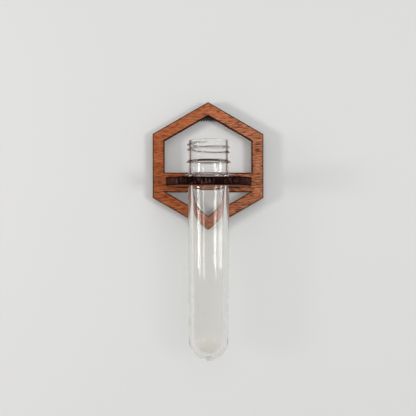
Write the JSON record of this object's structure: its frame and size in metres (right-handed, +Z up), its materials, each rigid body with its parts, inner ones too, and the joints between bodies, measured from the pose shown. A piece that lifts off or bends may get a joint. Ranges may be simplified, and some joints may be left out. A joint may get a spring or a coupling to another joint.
{
  "type": "propagation vase",
  "caption": "Wall-hung propagation vase: a clear round-bottomed tube with a threaded neck hangs by its ring in a shelf on a plywood hexagon frame.",
  "frame": {"origin": "the hanging point: on the wall plane, at the top of the hanger's middle notch", "axes": "+X to the viewer's right, +Y into the wall, +Z up along the tube"},
  "size_m": [0.0726, 0.0459, 0.1648],
  "materials": {
    "plywood": "reddish-brown face veneer with charred laser-cut edges",
    "clear_plastic": "clear and smooth",
    "hanger_steel": "dark pressed strip",
    "nail_steel": "bright wire nail"
  },
  "bodies": {
    "bracket": {"hexagon_frame": "plywood", "tube_shelf": "plywood", "sawtooth_hanger": "hanger_steel", "hanger_nails": "nail_steel"},
    "tube": {"vase_tube": "clear_plastic"}
  },
  "joints": [
    {"name": "tube_lift", "type": "slide", "parent": "bracket", "child": "tube", "axis": [0, 0, 1], "range_m": [0, 0.12]}
  ]
}
